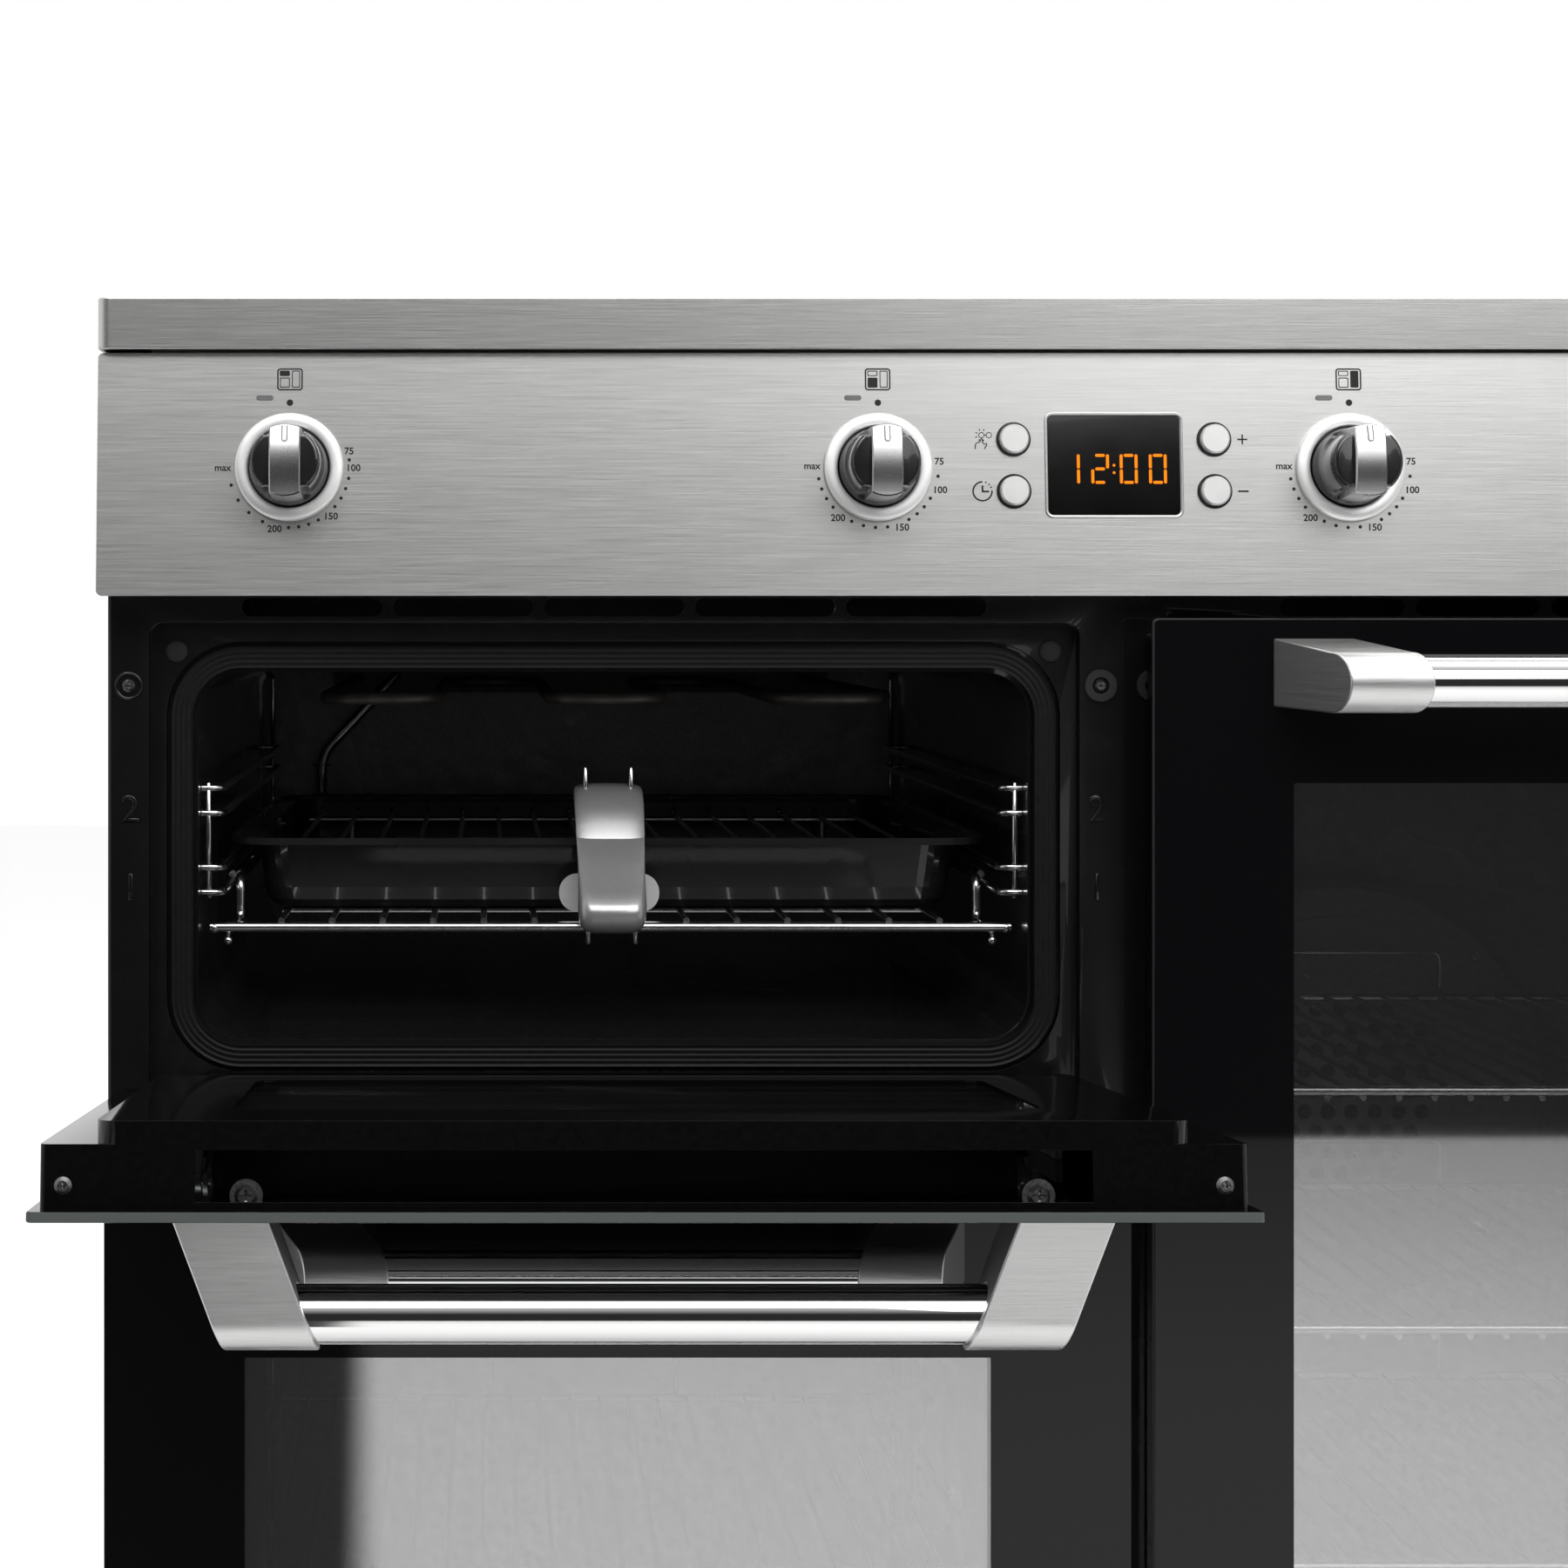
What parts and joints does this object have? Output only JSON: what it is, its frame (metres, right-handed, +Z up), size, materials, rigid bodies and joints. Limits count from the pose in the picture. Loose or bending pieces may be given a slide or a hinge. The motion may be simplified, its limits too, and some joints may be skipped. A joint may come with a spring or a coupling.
{
  "type": "induction range cooker",
  "caption": "Freestanding range cooker with a flat induction hob, a drop-down grill oven, a drop-down main oven and a tall side-hinged fan oven.",
  "frame": {"origin": "centre of the bounding box's footprint on the floor, with the grill door open as stored", "axes": "+Z up, -Y out of the front, +X to the right of a person who faces the front"},
  "size_m": [0.9, 0.83, 0.9],
  "materials": {
    "black_enamel": "gloss black enamel",
    "side_paint": "satin black paint",
    "zinc": "galvanised sheet",
    "steel": "brushed along its length",
    "black_glass": "opaque black glass",
    "door_glass": "black-printed glass with a dark see-through window",
    "inner_glass": "heat-reflecting glass",
    "copper": "lacquered copper wire",
    "knob": "gloss black with a satin metal bar",
    "satin_metal": "satin",
    "display": "gloss black",
    "board": "circuit board in a moulded box",
    "white_plastic": "moulded",
    "dark_plastic": "moulded",
    "seal": "dark woven silicone",
    "chrome": "bright",
    "element": "dulled by heat",
    "grip": "satin grey",
    "liner": "dark speckled enamel"
  },
  "bodies": {
    "cooker": {"base_frame": "zinc", "levelling_feet": "dark_plastic", "plinth": "side_paint", "side_panel_left": "side_paint", "side_panel_right": "side_paint", "back_panel": "zinc", "terminal_box": "dark_plastic", "hob_tray": "zinc", "hob_trim": "steel", "hob_glass": "black_glass", "induction_coils": "copper", "control_panel": "steel", "knob_bezels": "satin_metal", "display_window": "display", "timer_module": "board", "rotary_switches": "white_plastic", "left_front_frame": "black_enamel", "right_front_frame": "black_enamel", "grill_cavity": "liner", "lower_cavity": "liner", "tall_cavity": "liner", "door_seals": "seal", "grill_side_racks": "chrome", "oven_side_racks": "chrome", "grill_element": "element", "fan_cover": "liner", "oven_shelves": "chrome", "hinge_receivers": "zinc", "frame_screws": "satin_metal"},
    "grill_shelf": {"wire_shelf": "chrome"},
    "grill_tray": {"grill_pan": "black_enamel", "pan_trivet": "chrome", "pan_handle": "grip"},
    "grill_door": {"grill_door_glass": "door_glass", "grill_door_frame": "black_enamel", "grill_door_inner_glass": "inner_glass", "grill_door_hinges": "zinc", "grill_handle_brackets": "satin_metal", "grill_handle_tube": "chrome"},
    "lower_door": {"lower_door_glass": "door_glass", "lower_door_frame": "black_enamel", "lower_door_inner_glass": "inner_glass", "lower_door_hinges": "zinc", "lower_handle_brackets": "satin_metal", "lower_handle_tube": "chrome"},
    "tall_door": {"tall_door_glass": "door_glass", "tall_door_frame": "black_enamel", "tall_door_inner_glass": "inner_glass", "tall_door_hinges": "zinc", "tall_handle_brackets": "satin_metal", "tall_handle_tube": "chrome"},
    "knob_1": {"knob_grill_oven": "knob"},
    "knob_2": {"knob_lower_oven": "knob"},
    "knob_3": {"knob_tall_oven": "knob"},
    "knob_4": {"knob_grill": "knob"},
    "light_button": {"button_light": "satin_metal"},
    "timer_button": {"button_timer": "satin_metal"},
    "plus_button": {"button_plus": "satin_metal"},
    "minus_button": {"button_minus": "satin_metal"},
    "fan": {"fan_wheel": "element"}
  },
  "joints": [
    {"name": "grill_door_hinge", "type": "hinge", "parent": "cooker", "child": "grill_door", "pos_m": [-0.21995, -0.19368, 0.5375], "axis": [1, 0, 0], "range_deg": [-84.8, 0]},
    {"name": "lower_door_hinge", "type": "hinge", "parent": "cooker", "child": "lower_door", "pos_m": [-0.21995, -0.19368, 0.1195], "axis": [1, 0, 0], "range_deg": [0, 90]},
    {"name": "tall_door_hinge", "type": "hinge", "parent": "cooker", "child": "tall_door", "pos_m": [0.4397, -0.19898, 0.424], "axis": [0, 0, 1], "range_deg": [0, 95]},
    {"name": "shelf_slide", "type": "slide", "parent": "cooker", "child": "grill_shelf", "axis": [0, -1, 0], "range_m": [0, 0.2]},
    {"name": "pan_slide", "type": "slide", "parent": "grill_shelf", "child": "grill_tray", "axis": [0, -1, 0], "range_m": [0, 0.15]},
    {"name": "knob_1_turn", "type": "hinge", "parent": "cooker", "child": "knob_1", "pos_m": [-0.365, -0.207, 0.82486], "axis": [0, 0.9976, -0.0698], "range_deg": [0, 270]},
    {"name": "knob_2_turn", "type": "hinge", "parent": "cooker", "child": "knob_2", "pos_m": [-0.1044, -0.207, 0.82486], "axis": [0, 0.9976, -0.0698], "range_deg": [0, 270]},
    {"name": "knob_3_turn", "type": "hinge", "parent": "cooker", "child": "knob_3", "pos_m": [0.1044, -0.207, 0.82486], "axis": [0, 0.9976, -0.0698], "range_deg": [0, 270]},
    {"name": "knob_4_turn", "type": "hinge", "parent": "cooker", "child": "knob_4", "pos_m": [0.365, -0.207, 0.82486], "axis": [0, 0.9976, -0.0698], "range_deg": [0, 270]},
    {"name": "light_button_press", "type": "slide", "parent": "cooker", "child": "light_button", "axis": [0, 0.9976, -0.0698], "range_m": [0, 0.002], "stiffness_N_per_m": 400},
    {"name": "timer_button_press", "type": "slide", "parent": "cooker", "child": "timer_button", "axis": [0, 0.9976, -0.0698], "range_m": [0, 0.002], "stiffness_N_per_m": 400},
    {"name": "plus_button_press", "type": "slide", "parent": "cooker", "child": "plus_button", "axis": [0, 0.9976, -0.0698], "range_m": [0, 0.002], "stiffness_N_per_m": 400},
    {"name": "minus_button_press", "type": "slide", "parent": "cooker", "child": "minus_button", "axis": [0, 0.9976, -0.0698], "range_m": [0, 0.002], "stiffness_N_per_m": 400},
    {"name": "fan_spin", "type": "hinge", "parent": "cooker", "child": "fan", "pos_m": [0.23125, 0.22702, 0.47475], "axis": [0, 1, 0], "continuous": true}
  ]
}
